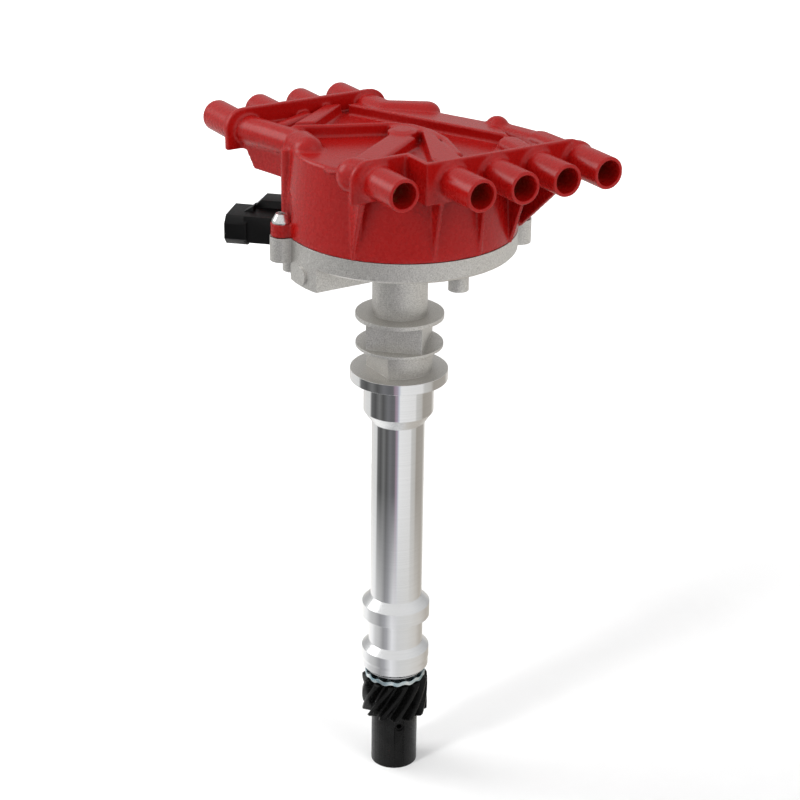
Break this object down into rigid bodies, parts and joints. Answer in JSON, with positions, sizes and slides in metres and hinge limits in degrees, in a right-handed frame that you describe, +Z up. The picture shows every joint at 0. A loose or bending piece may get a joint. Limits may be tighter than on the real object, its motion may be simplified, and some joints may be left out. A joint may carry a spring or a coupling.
{
  "type": "ignition distributor",
  "caption": "Ignition distributor with a moulded cap, rows of plug towers, a cast housing with a long shaft tube, a sensor connector and a helical drive gear",
  "frame": {"origin": "on the shaft axis, at the underside of the hold-down collar, which seats on the engine", "axes": "+Z up along the shaft to the cap, X along the two rows of plug towers with the coil tower at -X, +Y towards the row without the coil tower"},
  "size_m": [0.1239, 0.1546, 0.3154],
  "materials": {
    "cast_housing": "blasted casting with bright machined collar, pilot, tube and bands",
    "red_moulding": "semi-gloss moulded",
    "black_moulding": "fine matt moulded",
    "bright_screw": "bright plated",
    "spring_wire": "drawn wire",
    "bearing_bronze": "sintered bronze",
    "shaft_steel": "ground",
    "black_gear": "black phosphate, satin",
    "blue_zinc": "blue zinc plate",
    "contact_metal": "plain",
    "carbon": "matt carbon"
  },
  "bodies": {
    "body": {"housing": "cast_housing", "distributor_cap": "red_moulding", "position_sensor": "black_moulding", "cap_screw_left": "bright_screw", "cap_screw_right": "bright_screw", "sensor_screws": "bright_screw", "brush_spring": "spring_wire", "upper_bushing": "bearing_bronze", "lower_bushing": "bearing_bronze", "connector_pins": "contact_metal", "coil_terminal": "contact_metal", "plug_terminal_1": "contact_metal", "plug_terminal_2": "contact_metal", "plug_terminal_3": "contact_metal", "plug_terminal_4": "contact_metal", "plug_terminal_5": "contact_metal", "plug_terminal_6": "contact_metal", "plug_terminal_7": "contact_metal", "plug_terminal_8": "contact_metal", "cap_contact_1": "contact_metal", "cap_contact_2": "contact_metal", "cap_contact_3": "contact_metal", "cap_contact_4": "contact_metal", "cap_contact_5": "contact_metal", "cap_contact_6": "contact_metal", "cap_contact_7": "contact_metal", "cap_contact_8": "contact_metal"},
    "rotating_group": {"shaft": "shaft_steel", "drive_gear": "black_gear", "roll_pin": "shaft_steel", "shim_washer": "shaft_steel", "dimpled_washer": "blue_zinc", "shutter_wheel": "shaft_steel", "rotor_carrier": "black_moulding", "rotor_body": "black_moulding", "rotor_blade": "contact_metal", "rotor_contact": "contact_metal", "rotor_screws": "bright_screw"},
    "brush": {"carbon_brush": "carbon"}
  },
  "joints": [
    {"name": "shaft_spin", "type": "hinge", "parent": "body", "child": "rotating_group", "pos_m": [0, 0, 0], "axis": [0, 0, 1], "continuous": true},
    {"name": "carbon_brush_slide", "type": "slide", "parent": "body", "child": "brush", "axis": [0, 0, 1], "range_m": [0, 0.0015], "stiffness_N_per_m": 300, "springref_m": -0.003, "deforming": ["brush_spring"]}
  ]
}
